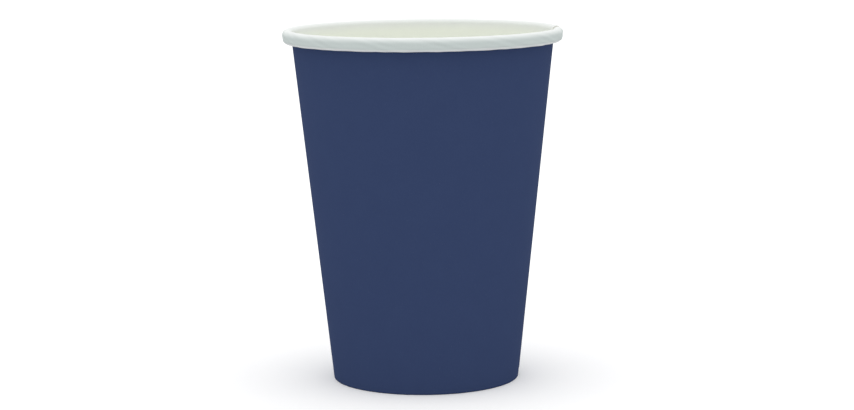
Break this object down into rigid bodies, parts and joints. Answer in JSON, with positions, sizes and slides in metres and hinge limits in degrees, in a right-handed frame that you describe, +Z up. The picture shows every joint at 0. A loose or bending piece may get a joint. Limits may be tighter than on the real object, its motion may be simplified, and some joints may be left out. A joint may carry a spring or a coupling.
{
  "type": "paper cup",
  "caption": "Single-wall paper cup: a tapered round wall with a lapped side seam and a rolled rim, and a bottom disc sealed into the folded foot.",
  "frame": {"origin": "middle of the foot, in the plane that the cup stands on", "axes": "+Z up along the cup's axis, from the foot to the mouth; +X to the right as the picture sees the cup, with the side seam 10 degrees behind it; +Y away from the camera. The cup is round about +Z, apart from the lap of its seam."},
  "size_m": [0.09, 0.09, 0.1135],
  "materials": {
    "printed_board": "matt printed board, flat navy outside, white inside and on the rim",
    "white_board": "uncoloured white board with a thin satin coating inside"
  },
  "bodies": {
    "root": {"sidewall": "printed_board", "bottom_disc": "white_board"}
  },
  "joints": []
}
